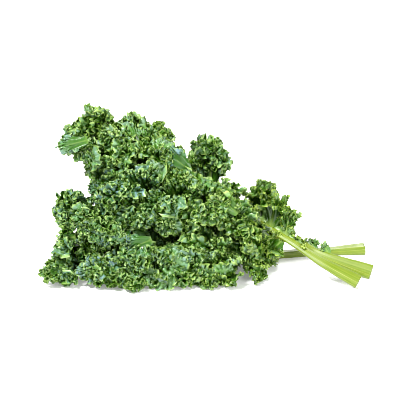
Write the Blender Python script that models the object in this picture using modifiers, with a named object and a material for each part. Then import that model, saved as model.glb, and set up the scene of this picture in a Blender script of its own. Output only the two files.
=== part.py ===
"""A bunch of curly kale that lies on a table: three cut leaves, fanned out from their crossed stems.

Each leaf is a fleshy stem, which runs on to the tip as the midrib, and a blade of curled lobes
that grow from a thin saddle over the midrib. Lengths are in metres unless a name ends in _MM,
+Z is up, and the bunch lies along X with its cut ends towards +X.
"""

import math

import bmesh
import bpy
import numpy as np

MM = 0.001

# The bunch: where its middle is moved to, and how its leaves press on each other and on the table
SHIFT_MM = np.array((-3.04, 22.17, 0.0))
LEAF_GAP_MM = 1.6
PRESS_FREE = 0.55
FIRM_FREE = 0.9
SPREAD = 0.9
SPREAD_OVER_MM = 6
LEAN = np.array((1.2, 1.0))

# Stem and midrib: half widths along the leaf, from the cut end to the tip
STEM_STATIONS = 20
STEM_SIDES = 10
STEM_WIDE = 1.1
STEM_BELOW = 0.82
STEM_ABOVE = 0.57
HALF_WIDTH_AT = (0.0, 0.05, 0.11, 0.18, 0.3, 0.55, 0.8, 1.0)
HALF_WIDTH_MM = (7.0, 6.3, 5.0, 4.0, 3.4, 2.6, 1.7, 1.0)
RIB_END = 0.965
STATIONS = RIB_END * np.linspace(0, 1, STEM_STATIONS)

# Saddle of blade tissue over the midrib, which holds the lobes together
SADDLE_GAP_MM = 0.7
SADDLE_WALL_MM = 1.6
SADDLE_FROM, SADDLE_TO = math.radians(-34), math.radians(214)
SADDLE_STEPS = 8
SADDLE_AHEAD = 0.03
LEAFLET_FOOT = np.array((-0.014, 0.0, 0.014))

# Lobes: outline of a fan, and the grid of points in its blade
BLADE_MM = 0.9
ROOT_MM = 7.0
FAN = math.radians(52)
MARGIN_ROUND = math.radians(76)
MARGIN_BLUNT = 0.42
MARGIN_SWELL = 0.06
MARGIN_SWELLS = 9
ROWS = (0.0, 0.36, 0.7, 1.0)
COLUMNS = (2, 5, 10, 20)
SMALL_LOBE_MM = 45
SMALL_COLUMNS = (2, 4, 8, 14)
EDGE_COLUMNS = 0.2

# Lobes: teeth, waves and bends, which grow with the length of the lobe
TOOTH = 0.12
CRINKLE = 0.028
WAVE = 0.16
WAVES = (2.3, 3.1)
GIVE_AT = np.array(((0.3,), (0.6,), (0.9,)))
TWIST = 0.35
SWEEP_FROM, SWEEP_MORE, SWEEP_DRAW = 10, 24, 4
RAISE_DRAW = 4
TIP_SWEEP = 88

# Each lobe: share of the midrib where it grows, degrees it is raised from the leaf's plane, length
LEAVES = {
    "upper": {
        "midrib": ((155, -63, 6), (119, -50, 22), (86, -24, 36), (46, -5, 54),
                   (-4, 5, 80), (-50, 10, 105), (-88, 12, 120), (-110, 13, 123)),
        "faces": (0.0, -0.6, 0.8), "blade_from": 0.2, "seed": 4, "tip": 42, "bend": (-0.5, 0.9),
        "far": ((0.28, 30, 22), (0.35, 40, 46), (0.44, 20, 34), (0.6, 36, 52), (0.655, 12, 42),
                (0.7, 60, 42), (0.76, 18, 48), (0.81, 60, 40), (0.87, 14, 44), (0.93, 50, 38),
                (0.985, 28, 44)),
        "near": ((0.31, 62, 26), (0.385, 40, 36), (0.47, 40, 38), (0.53, 55, 42), (0.6, 34, 44),
                 (0.67, 60, 44), (0.735, 14, 50), (0.8, 62, 44), (0.86, 8, 52), (0.92, 60, 44),
                 (0.965, 0, 50)),
        "leaflets": (),
    },
    "middle": {
        "midrib": ((170, -38, 6), (119, -22, 19), (98, -4, 25), (60, 0, 34),
                   (20, -13, 46), (-30, -26, 58), (-76, -31, 67), (-112, -33, 70)),
        "faces": (0.0, -0.9, 0.4), "blade_from": 0.3, "seed": 7, "tip": 44, "bend": (-0.5, 0.9),
        "far": ((0.5, 50, 34), (0.58, 24, 42), (0.65, 58, 44), (0.72, 14, 50), (0.79, 60, 46),
                (0.86, 12, 52), (0.92, 55, 46), (0.97, 20, 46)),
        "near": ((0.46, 50, 42), (0.54, 80, 38), (0.62, 44, 48), (0.7, 80, 42), (0.78, 40, 50),
                 (0.86, 70, 46), (0.93, 22, 52), (0.975, 60, 46)),
        "leaflets": ((0.16, 24, 10), (0.21, 10, 14)),
    },
    "lower": {
        "midrib": ((169, 30, 5.1), (130, 26, 3.6), (100, 21, 3.6), (60, 7, 7),
                   (10, -14, 13), (-40, -30, 17), (-90, -38, 16), (-122, -48, 10)),
        "faces": (0.0, -0.1, 1.0), "blade_from": 0.33, "seed": 11, "tip": 44, "bend": (-0.1, 0.5),
        "far": ((0.4, 10, 38), (0.5, 6, 46), (0.6, 10, 52), (0.7, 6, 54), (0.8, 12, 54),
                (0.89, 40, 48), (0.96, 60, 50)),
        "near": ((0.36, 18, 44), (0.415, 40, 34), (0.445, 6, 58), (0.52, 32, 46), (0.59, -4, 56),
                 (0.67, 34, 46), (0.74, -6, 52), (0.82, 50, 46), (0.91, -6, 46)),
        "leaflets": (),
    },
}

COLOURS = {"stem": (0.52, 0.66, 0.14, 1.0), "blade": (0.09, 0.2, 0.05, 1.0)}
ROUGHNESS = 0.5


def clear_scene():
    for old in list(bpy.data.objects):
        bpy.data.objects.remove(old, do_unlink=True)


def material(name, colour, roughness):
    made = bpy.data.materials.new(name)
    made.use_nodes = True
    shader = made.node_tree.nodes["Principled BSDF"]
    shader.inputs["Base Color"].default_value = colour
    shader.inputs["Roughness"].default_value = roughness
    shader.inputs["Metallic"].default_value = 0.0
    made.diffuse_color = colour
    return made


def unit(v):
    return v / np.linalg.norm(v, axis=-1, keepdims=True)


class Leaf:
    """The line of a leaf's midrib, with its frame at any share of its length."""

    SAMPLES = 240

    def __init__(self, name, facts):
        self.name = name
        self.facts = facts
        self.draw = np.random.default_rng(facts["seed"])
        knots = np.array(facts["midrib"], float) * MM
        ends = np.vstack([2 * knots[0] - knots[1], knots, 2 * knots[-1] - knots[-2]])
        pieces = []
        for a, b, c, d in zip(ends, ends[1:], ends[2:], ends[3:]):
            t = np.linspace(0, 1, self.SAMPLES // len(knots), endpoint=False)[:, None]
            pieces.append(0.5 * (2 * b + (c - a) * t + (2 * a - 5 * b + 4 * c - d) * t**2
                                 + (3 * b - a - 3 * c + d) * t**3))
        line = np.vstack(pieces + [knots[-1:]])
        run = np.concatenate([[0], np.cumsum(np.linalg.norm(np.diff(line, axis=0), axis=1))])
        self.length = run[-1]
        self.share = run / self.length
        self.line = line

    def point(self, share):
        return np.stack([np.interp(share, self.share, self.line[:, k]) for k in range(3)], -1)

    def frame(self, share):
        """Unit vectors along the midrib, out to its side, and out of the leaf's upper face."""
        step = 0.01
        along = unit(self.point(min(share + step, 1.0)) - self.point(max(share - step, 0.0)))
        side = unit(np.cross(along, np.array(self.facts["faces"])))
        return along, side, np.cross(side, along)

    def half_width(self, share):
        return np.interp(share, HALF_WIDTH_AT, HALF_WIDTH_MM) * MM

    def middle_at(self, x):
        """The midrib's place across the bunch, (y, z), where it passes x."""
        order = np.argsort(self.line[:, 0])
        return np.stack([np.interp(x, self.line[order, 0], self.line[order, k]) for k in (1, 2)], -1)


def eased(reach, limit, free_share):
    """Reach kept as it is up to a share of the limit, and then drawn in so that it stays below."""
    free = free_share * limit
    rest = limit - free
    return np.where(reach < free, reach, free + rest * (1 - np.exp(-(reach - free) / rest)))


def leaf_bounds(points, leaf, leaves):
    """Where other leaves hem a leaf in: a unit direction to each bound, and the reach that it leaves.

    Across the bunch, a plane halfway between two midribs keeps their leaves apart. It leans a little
    towards upright, so that no gap shows from the front.
    """
    middle = leaf.middle_at(points[..., 0])
    for other in leaves:
        if other is not leaf:
            away = other.middle_at(points[..., 0]) - middle
            toward = unit(away * LEAN)
            yield toward, (away * toward).sum(-1) / 2 - (LEAF_GAP_MM + BLADE_MM) / 2 * MM


def pressed(points, leaf, leaves):
    """Points of a blade pressed back where another leaf or the table hems them in.

    A blade that meets another leaf also spreads to both sides. The last step draws each point
    straight in to the midrib where it is still too near to another leaf.
    """
    middle = leaf.middle_at(points[..., 0])
    out = points[..., 1:] - middle
    for toward, limit in leaf_bounds(points, leaf, leaves):
        reach = np.maximum((out * toward).sum(-1), 0)
        over = reach - eased(reach, limit, PRESS_FREE)
        aside = np.stack([toward[..., 1], -toward[..., 0]], -1)
        spread = SPREAD * over * np.tanh((out * aside).sum(-1) / (SPREAD_OVER_MM * MM))
        out = out + spread[..., None] * aside - over[..., None] * toward
    above = middle[..., 1] - BLADE_MM / 2 * MM
    out[..., 1] = -eased(-out[..., 1], above, PRESS_FREE)
    keep = np.ones(out.shape[:-1])
    for toward, limit in leaf_bounds(points, leaf, leaves):
        reach = np.maximum((out * toward).sum(-1), MM / 1000)
        keep = np.minimum(keep, eased(reach, limit, FIRM_FREE) / reach)
    return np.concatenate([points[..., :1], middle + out * keep[..., None]], -1)


def lobe_shape(length, row, columns, give, waves, phase, bend):
    """One row of a lobe in its own axes: out from the root, along the margin, and out of its face."""
    m = np.linspace(-1, 1, columns + 1)
    m = m * (1 - EDGE_COLUMNS + EDGE_COLUMNS * m * m)
    angle = m * FAN
    far = length * np.cos(MARGIN_ROUND * m) ** MARGIN_BLUNT
    far = far * (1 + MARGIN_SWELL * np.sin(MARGIN_SWELLS * m + phase))
    tooth = np.arange(columns + 1) % 2 if row == 1 else np.zeros(columns + 1)
    far = far * (1 - TOOTH * tooth)
    out = row * far * np.cos(angle)
    across = row * far * np.sin(angle) + ROOT_MM / 2 * MM * m * (1 - row)
    lift = WAVE * row**1.5 * np.sin(waves * math.pi * m + phase) + CRINKLE * (tooth - 0.5) * (row == 1)
    lift = lift * length * give
    turn = bend / length
    level = np.sin(turn * out) / turn - lift * np.sin(turn * out)
    height = (1 - np.cos(turn * out)) / turn + lift * np.cos(turn * out)
    return np.stack([level, across, height], -1)


def give_of(spots, swing, leaf, leaves):
    """How much of its full swing a lobe's wave keeps at its flattest: less where the lobe is pressed."""
    tall = pressed(spots + swing, leaf, leaves) - pressed(spots - swing, leaf, leaves)
    return np.linalg.norm(tall, axis=-1).min() / (2 * np.linalg.norm(swing))


def lobe_rows(leaf, leaves, share, roll, sweep, length):
    """The rows of a lobe in the bunch, from its root on the saddle to its margin."""
    draw = leaf.draw
    along, side, up = leaf.frame(share)
    outward = math.cos(roll) * side + math.sin(roll) * up
    out = math.cos(sweep) * outward + math.sin(sweep) * along
    root_line = side if sweep == math.radians(TIP_SWEEP) else along
    across = unit(root_line - out * (root_line @ out))
    normal = np.cross(out, across)
    normal = normal if normal @ up > 0 else -normal
    root = leaf.point(share) + outward * saddle_radius(leaf, share)
    waves, phase, bend = draw.uniform(*WAVES), draw.uniform(0, 2 * math.pi), draw.uniform(*leaf.facts["bend"])
    twist = draw.uniform(-TWIST, TWIST)
    give = give_of(root + GIVE_AT * length * out, WAVE * length * normal, leaf, leaves)
    rows = []
    for row, columns in zip(ROWS, SMALL_COLUMNS if length < SMALL_LOBE_MM * MM else COLUMNS):
        shape = lobe_shape(length, row, columns, give, waves, phase, bend)
        turned = across * math.cos(twist * row) + normal * math.sin(twist * row)
        turned = unit(turned + (root_line - turned) * max(1 - 2 * row, 0))
        tilted = normal * math.cos(twist * row) - across * math.sin(twist * row)
        rows.append(root + shape[:, :1] * out + shape[:, 1:2] * turned + shape[:, 2:] * tilted)
    return rows


def lobe_plan(leaf):
    """Where the lobes of a leaf grow: share of the midrib, roll about it, sweep to the tip, length."""
    draw = leaf.draw
    for side in ("far", "near"):
        for share, raised, length in leaf.facts[side]:
            raised = math.radians(raised + draw.uniform(-RAISE_DRAW, RAISE_DRAW))
            roll = raised if side == "far" else math.pi - raised
            sweep = math.radians(SWEEP_FROM + SWEEP_MORE * share + draw.uniform(-SWEEP_DRAW, SWEEP_DRAW))
            yield share * RIB_END, roll, sweep, length * MM
    yield 1.0, math.pi / 2, math.radians(TIP_SWEEP), leaf.facts["tip"] * MM


def sheet(name, rows):
    """A mesh of triangles through rows of points, each row with its own number of points."""
    mesh = bmesh.new()
    rings = [[mesh.verts.new(p) for p in row] for row in rows]
    for low, high in zip(rings, rings[1:]):
        i = j = 0
        while i < len(low) - 1 or j < len(high) - 1:
            next_low = (i + 1) / (len(low) - 1) if i < len(low) - 1 else 2
            next_high = (j + 1) / (len(high) - 1) if j < len(high) - 1 else 2
            if next_low < next_high - 1e-9:
                mesh.faces.new((low[i], low[i + 1], high[j]))
                i += 1
            else:
                mesh.faces.new((low[i], high[j + 1], high[j]))
                j += 1
    data = bpy.data.meshes.new(name)
    mesh.to_mesh(data)
    mesh.free()
    return bpy.data.objects.new(name, data)


def thickened(obj, thickness, collection):
    """Gives a sheet its thickness, half to each face, as a closed solid."""
    collection.objects.link(obj)
    solid = obj.modifiers.new("thickness", "SOLIDIFY")
    solid.thickness = thickness
    solid.offset = 0
    apply_modifiers(obj)
    return obj


def apply_modifiers(obj):
    """Keeps what an object's modifiers make of it as its mesh."""
    view = bpy.context.evaluated_depsgraph_get()
    made = bpy.data.meshes.new_from_object(obj.evaluated_get(view))
    obj.modifiers.clear()
    obj.data = made


def fused(body, collection):
    """Joins every object of a collection to a body, and removes them."""
    union = body.modifiers.new("union", "BOOLEAN")
    union.operation = "UNION"
    union.operand_type = "COLLECTION"
    union.collection = collection
    union.solver = "MANIFOLD"
    apply_modifiers(body)
    for used in list(collection.objects):
        bpy.data.objects.remove(used, do_unlink=True)
    bpy.data.collections.remove(collection)
    keep_largest(body)


def keep_largest(body):
    """Drops loose scraps, and the walls of any hollow that joining has sealed, which fills it."""
    mesh = bmesh.new()
    mesh.from_mesh(body.data)
    unseen, shells = set(mesh.verts), []
    while unseen:
        shell, edge = set(), [unseen.pop()]
        while edge:
            vert = edge.pop()
            shell.add(vert)
            near = {e.other_vert(vert) for e in vert.link_edges} & unseen
            unseen -= near
            edge.extend(near)
        shells.append(shell)
    shells.sort(key=len)
    bmesh.ops.delete(mesh, geom=[v for shell in shells[:-1] for v in shell])
    mesh.to_mesh(body.data)
    mesh.free()


def saddle_radius(leaf, share):
    """How far the middle of the saddle's wall is from the line of the midrib."""
    return leaf.half_width(share) * STEM_WIDE + (SADDLE_GAP_MM + SADDLE_WALL_MM / 2) * MM


def saddle(leaf, shares, collection):
    """The blade's middle: a thin trough of tissue over the midrib, open below."""
    rows = []
    for share in shares:
        along, side, up = leaf.frame(share)
        angles = np.linspace(SADDLE_FROM, SADDLE_TO, SADDLE_STEPS + 1)[:, None]
        ring = np.cos(angles) * side + np.sin(angles) * up
        rows.append(leaf.point(share) + saddle_radius(leaf, share) * ring)
    return thickened(sheet("saddle", rows), SADDLE_WALL_MM * MM, collection)


def leafy(name, leaf, leaves, shares, plan, collection):
    """Lobes that grow from a saddle over the midrib, as one body."""
    lobes = bpy.data.collections.new("lobes")
    bpy.context.scene.collection.children.link(lobes)
    for share, roll, sweep, length in plan:
        rows = lobe_rows(leaf, leaves, share, roll, sweep, length)
        rows = [pressed(row, leaf, leaves) for row in rows]
        thickened(sheet("lobe", rows), BLADE_MM * MM, lobes)
    made = saddle(leaf, shares, collection)
    made.name = name
    fused(made, lobes)
    return made


def stem(leaf, collection):
    """The fleshy stem, flatter on its upper face, from the flared cut end to the tip of the midrib."""
    mesh = bmesh.new()
    rings = []
    for share in STATIONS:
        along, side, up = leaf.frame(share)
        half = leaf.half_width(share)
        ring = []
        for k in range(STEM_SIDES):
            angle = 2 * math.pi * k / STEM_SIDES
            high = math.sin(angle) * (STEM_ABOVE if math.sin(angle) > 0 else STEM_BELOW)
            spot = leaf.point(share) + half * (STEM_WIDE * math.cos(angle) * side + high * up)
            spot[2] = max(spot[2], 0.0)
            ring.append(mesh.verts.new(spot))
        rings.append(ring)
    for low, high in zip(rings, rings[1:]):
        for k in range(STEM_SIDES):
            n = (k + 1) % STEM_SIDES
            mesh.faces.new((low[k], low[n], high[n], high[k]))
    mesh.faces.new(rings[0][::-1])
    mesh.faces.new(rings[-1])
    bmesh.ops.recalc_face_normals(mesh, faces=mesh.faces)
    data = bpy.data.meshes.new(leaf.name + "_stem")
    mesh.to_mesh(data)
    mesh.free()
    made = bpy.data.objects.new(leaf.name + "_stem", data)
    collection.objects.link(made)
    return made


def dressed(made, look):
    """Gives a body its material and moves it to the bunch's place."""
    made.data.materials.clear()
    made.data.materials.append(look)
    made.location = SHIFT_MM * MM


def build():
    clear_scene()
    bunch = bpy.data.collections.new("kale_bunch")
    bpy.context.scene.collection.children.link(bunch)
    looks = {part: material(part, colour, ROUGHNESS) for part, colour in COLOURS.items()}
    leaves = [Leaf(name, facts) for name, facts in LEAVES.items()]
    for leaf in leaves:
        dressed(stem(leaf, bunch), looks["stem"])
        shares = [share for share in STATIONS if share > leaf.facts["blade_from"] - SADDLE_AHEAD]
        made = leafy(leaf.name + "_blade", leaf, leaves, shares + [1.0], lobe_plan(leaf), bunch)
        dressed(made, looks["blade"])
        for k, (share, raised, length) in enumerate(leaf.facts["leaflets"]):
            plan = [(share, math.radians(raised), math.radians(SWEEP_FROM), length * MM)]
            made = leafy(f"{leaf.name}_leaflet_{k + 1}", leaf, leaves, share + LEAFLET_FOOT, plan, bunch)
            dressed(made, looks["blade"])
    bpy.context.view_layer.update()


build()
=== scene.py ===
import math

import bpy
import numpy as np
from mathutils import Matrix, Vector


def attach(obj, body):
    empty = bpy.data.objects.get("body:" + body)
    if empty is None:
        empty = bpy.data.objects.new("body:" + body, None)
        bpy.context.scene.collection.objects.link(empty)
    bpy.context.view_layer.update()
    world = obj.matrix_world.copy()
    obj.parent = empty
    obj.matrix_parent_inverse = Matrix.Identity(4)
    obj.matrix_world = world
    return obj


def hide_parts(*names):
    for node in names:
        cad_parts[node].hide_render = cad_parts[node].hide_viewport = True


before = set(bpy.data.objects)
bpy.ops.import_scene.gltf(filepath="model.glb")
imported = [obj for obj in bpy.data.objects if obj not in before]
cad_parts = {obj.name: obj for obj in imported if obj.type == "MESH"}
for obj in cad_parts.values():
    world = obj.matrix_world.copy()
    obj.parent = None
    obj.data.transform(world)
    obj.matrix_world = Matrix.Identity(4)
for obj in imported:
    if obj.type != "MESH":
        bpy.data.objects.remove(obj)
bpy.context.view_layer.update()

# A bunch of curly kale: three cut leaves, fanned out from their crossed stems. Each leaf is a
# fleshy stem, which runs on to the tip as the midrib, and a blade of lobes whose margins are
# ruffled twice. The tables and names that end in _MM have lengths in millimetres, the rest has
# them in metres. The bunch is modelled where the part's source models it, and moved by SHIFT_MM
# into the frame.
MM = 0.001
SHIFT_MM = np.array((-3.04, 22.17, 0.0))
ANY_PHASE = 6.28

# How the leaves press on each other and on the table, as in the part's source
LEAF_GAP_MM = 1.6
PRESS_FREE = 0.55
FIRM_FREE = 0.9
SPREAD = 0.9
SPREAD_OVER_MM = 6
LEAN = np.array((1.2, 1.0))

# How low and how far to the front the blades reach: where they are eased from, and their limit
TABLE_MM, TABLE_EASE_MM = 0.4, 3
FRONT_FREE_MM, FRONT_MM = -58.0, -70.0

# Stem and midrib, as in the part's source
STEM_WIDE = 1.1
STEM_BELOW = 0.82
STEM_ABOVE = 0.57
HALF_WIDTH_AT = (0.0, 0.05, 0.11, 0.18, 0.3, 0.55, 0.8, 1.0)
HALF_WIDTH_MM = (7.0, 6.3, 5.0, 4.0, 3.4, 2.6, 1.7, 1.0)
RIB_END = 0.965
SADDLE_GAP_MM = 0.7
SADDLE_WALL_MM = 1.6

# The stem's finer form: ridges as (count, share of the half width), a channel along its upper
# face, and the rings that round off its cut end as (share of the section, lift)
STEM_ROWS, STEM_SIDES = 120, 40
STEM_ROWS_CURVE = 1.15
STEM_RIDGES, RIDGE_PHASE = ((5, 0.03), (11, 0.02)), 6
CHANNEL_DEEP, CHANNEL_WIDE = 0.12, 0.45
RIDGES_FADE = 0.5
THICK_FROM, THICK_TO = 0.1, 0.2
CAP_MM = 0.5
CAP_RINGS = ((0.0, 1.4), (0.35, 1.2), (0.7, 0.9), (0.86, 0.6), (0.95, 0.1))
TIP_RINGS = (0.6, 0.0)

# Lobes, as in the part's source
BLADE_MM = 0.9
ROOT_MM = 7.0
FAN = math.radians(52)
MARGIN_ROUND = math.radians(76)
MARGIN_BLUNT = 0.42
MARGIN_SWELL = 0.06
MARGIN_SWELLS = 9
WAVE = 0.16
WAVES = (2.3, 3.1)
GIVE_AT = np.array(((0.3,), (0.6,), (0.9,)))
TWIST = 0.35
SWEEP_FROM, SWEEP_MORE, SWEEP_DRAW = 10, 24, 4
RAISE_DRAW = 4
TIP_SWEEP = 88

# A lobe's grid: how far up it each row is, and the columns that each row keeps
LOBE_RISE = np.array((0.0, 0.15, 0.29, 0.41, 0.52, 0.62, 0.71, 0.79, 0.86, 0.91, 0.96, 1.0))
LOBE_EVERY = (8, 8, 4, 4, 2, 2, 1, 1, 1, 1, 1, 1)
LOBE_COLUMNS, LEAST_COLUMNS, ALL_COLUMNS_MM = 336, 0.4, 44.0

# Cuts in a lobe's margin, and how its root sinks into the midrib
CUTS, CUT_DEEP, CUT_FROM, CUT_SHARP = 3.2, 0.24, 0.5, 0.7
SINK_IN, SINK_OVER = 0.8, 0.2

# Near the stems the lobes are flatter, with deeper cuts and smaller frills
NECK, NECK_BEFORE, NECK_AFTER = 0.46, 0.14, 0.08
NECK_CUT, NECK_FRILL = 0.42, 0.75

# Ruffles: length and height of a wave, and how far in from the margin they begin
CURL_MM, CURL_TALL_MM, CURL_DEEP_MM = 8.0, 3.8, 18.0
FRILL_MM, FRILL_TALL_MM, FRILL_DEEP_MM = 2.7, 1.45, 7.0
PLAIN_MM, PLAIN_TALL_MM, PLAIN_DEEP_MM = 11, 2.6, 12

# A lobe shorter than this has smaller ruffles
FULL_FRILL_MM = 34

# How ruffles vary, with distances along the margin in wave lengths and angles in radians
PHASE_DRIFT, PHASE_OVER = 1.5, 2.2
SLANT, SLANT_CURVE = 4, 1.5
SWAY, SWAY_MM, SWAY_DRIFT, SWAY_OVER = 1.3, 9.0, 3, 3
TALL_DRIFT, TALL_OVER = 0.4, 1.7
LEAST_BEGIN = 0.1
LEAN_OVER = 0.36
PUSH, PUSH_PACE, PUSH_PHASE = 0.5, 0.5, 1.3

# Teeth of a margin, with distances along it in teeth
TOOTH_MM, TOOTH_TALL_MM, TOOTH_FROM = 2.3, 1.1, 0.86
TOOTH_DRIFT, TOOTH_OVER = 0.4, 3
TOOTH_TALL_DRIFT, TOOTH_TALL_OVER = 0.5, 4

# Frilled strips that stand on a lobe's face, each at a share of its length
STRIP_RISE = np.array((0.0, 0.3, 0.54, 0.74, 0.89, 1.0))
STRIP_EVERY = (4, 2, 1, 1, 1, 1)
STRIP_COLUMNS = 200
STRIP_TALL_MM = 10.0
STRIPS = (0.34, 0.5, 0.66, 0.82)
STRIP_SHIFT = 0.06
STRIP_SPAN = (0.06, 0.94)
STRIP_WANDER, STRIP_WANDERS = 0.12, (1.2, 2.2)
STRIP_SLANT = 0.5
STRIP_DRIFT, STRIP_DRIFT_MM = 0.25, 14
STRIP_LOW, STRIP_END = 0.25, 0.12
STRIP_IN_FRONT = 0.7
STRIP_FRILL = 0.8
STRIP_V = 0.45

# The blade's edge along the midrib
WING_RISE = np.array((0.0, 0.25, 0.5, 0.72, 0.88, 1.0))
WING_EVERY = (4, 2, 1, 1, 1, 1)
WING_COLUMNS = 800
WING_END = 0.99
WING_MM = 9.0
WING_RAISED = 0.45
WING_TAPER = 0.12
WING_DRIFT, WING_DRIFT_MM = 0.35, 18
WING_PALE = 0.5
WING_U = 8
WING_WARMTH = 1.2

# What a blade's colours follow: closeness to the margin (painted shade deep in a lobe, and a light
# margin that is partly its own tone and partly painted highlight), pale ribs, and a lobe's own
# warmth
CLOSE_MM = 20.0
CLOSE_SHARE = 0.9
RIB_SPREAD, RIB_WIDE = 0.12, 0.045
VEINS, VEIN_PALE, VEIN_WIDE = (-0.72, -0.48, -0.24, 0.24, 0.48, 0.72), 0.22, 0.022
RIBS_FADE = (0.4, 0.95)
ROOT_FADE = (0.02, 0.16)
PLAIN_TONE, PLAIN_PALE = 0.3, 0.55
WARMTH_DRAW, WARMTH_NECK = 0.6, 0.9
COOL_TIP, COOL_SPAN = 0.45, (0.6, 0.9)

# Leaflets on the middle stem
LEAFLET_NARROW, LEAFLET_FRILL, LEAFLET_WARMTH = 0.9, 1.3, 0.6

# The midribs are the part's. The lobes follow the part's too, with some moved, narrowed or
# shortened to meet the photo's outline. Each is share of the midrib, degrees raised, length, and
# share of the full width where that isn't 1. "tip" is the last lobe's length and width, and each
# leaflet is share, degrees raised, length, degrees swept to the tip. "wing_from" has the shares
# where the blade's edge starts on the two sides. "thick" is how high the stem's section is against
# the part's, and what it gains from THICK_FROM to THICK_TO.
LEAVES = {
    "upper": {
        "midrib": ((155, -63, 6), (119, -50, 22), (86, -24, 36), (46, -5, 54),
                   (-4, 5, 80), (-50, 10, 105), (-88, 12, 120), (-110, 13, 123)),
        "faces": (0.0, -0.6, 0.8), "bend": (-0.5, 0.9), "thick": (1.0, 0.0),
        "wing_from": (0.2, 0.3), "seed": 4, "tip": (36, 0.8),
        "far": ((0.31, 30, 26, 0.6), (0.37, 40, 40, 0.75), (0.42, 20, 40, 0.65),
                (0.615, 36, 54, 0.58), (0.63, 26, 51, 0.6), (0.71, 60, 20),
                (0.815, 18, 41, 0.55), (0.84, 60, 36), (0.9, 14, 42, 0.7), (0.93, 50, 28),
                (0.995, 28, 43, 0.75)),
        "near": ((0.31, -34, 20), (0.385, -14, 34), (0.475, 60, 44), (0.53, 55, 42),
                 (0.6, 34, 44), (0.67, 60, 44), (0.735, 14, 50), (0.8, 62, 44),
                 (0.86, 8, 52), (0.92, 60, 44), (0.965, 0, 54)),
        "leaflets": (),
    },
    "middle": {
        "midrib": ((170, -38, 6), (119, -22, 19), (98, -4, 25), (60, 0, 34),
                   (20, -13, 46), (-30, -26, 58), (-76, -31, 67), (-112, -33, 70)),
        "faces": (0.0, -0.9, 0.4), "bend": (-0.5, 0.9), "thick": (1.0, 0.0),
        "wing_from": (0.36, 0.36), "seed": 7, "tip": (39, 1.0),
        "far": ((0.5, 50, 34), (0.58, 24, 42), (0.65, 58, 44), (0.72, 14, 50), (0.79, 60, 46),
                (0.86, 12, 52), (0.92, 55, 46), (0.94, 20, 42, 0.85)),
        "near": ((0.46, 50, 42), (0.54, 80, 38), (0.62, 44, 48), (0.7, 80, 26), (0.78, 62, 30),
                 (0.86, 70, 32), (0.93, 22, 52), (0.975, 60, 46)),
        "leaflets": ((0.16, 10, 10, 60), (0.22, -50, 15, 74)),
    },
    "lower": {
        "midrib": ((169, 30, 5.1), (130, 26, 3.6), (100, 21, 3.6), (60, 7, 7),
                   (10, -14, 13), (-40, -30, 17), (-90, -38, 16), (-122, -48, 10)),
        "faces": (0.0, -0.1, 1.0), "bend": (-0.1, 0.5), "thick": (1.3, 0.6),
        "wing_from": (0.36, 0.36), "seed": 11, "tip": (30, 0.75),
        "far": ((0.4, 10, 38), (0.5, 6, 46), (0.6, 10, 52), (0.7, 6, 54), (0.8, 12, 54),
                (0.89, 40, 48), (0.96, 60, 58)),
        "near": ((0.37, 18, 22), (0.415, 40, 25), (0.425, 6, 52, 0.36), (0.54, 32, 44, 0.6),
                 (0.58, -4, 66, 0.7), (0.67, 34, 46), (0.75, -6, 65), (0.82, 50, 46),
                 (0.89, -6, 54)),
        "leaflets": (),
    },
}

# More lobes, which hang over the gaps between the leaves:
# side, share, degrees raised, length, share of the width
SKIRT_SWEEP = 24
SKIRTS = {
    "upper": (
        ("near", 0.345, -24, 22, 0.7), ("near", 0.43, -12, 30, 0.8), ("near", 0.5, -14, 38, 1.0),
        ("near", 0.57, -6, 33, 1.0), ("near", 0.65, -16, 36, 1.0), ("near", 0.72, -8, 42, 1.0),
        ("near", 0.8, -18, 40, 1.0), ("near", 0.88, -20, 38, 1.0),
        ("near", 0.965, -24, 41, 0.85), ("far", 0.53, 50, 20, 0.6)),
    "middle": (
        ("near", 0.5, -20, 40, 0.9), ("near", 0.58, -34, 44, 1.0), ("near", 0.66, -24, 46, 1.0),
        ("near", 0.74, -48, 44, 0.9), ("near", 0.82, -26, 46, 1.0), ("near", 0.9, -40, 44, 1.0),
        ("near", 0.97, -24, 42, 1.0), ("near", 0.985, 0, 46, 0.9), ("far", 0.9, -5, 44, 1.0)),
    "lower": (
        ("near", 0.95, 14, 42, 1.0), ("near", 0.86, 22, 44, 1.0), ("near", 0.78, 20, 46, 1.0),
        ("near", 0.7, 12, 46, 1.0), ("near", 0.63, 18, 46, 1.0), ("far", 0.98, 20, 40, 1.0)),
}

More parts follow.
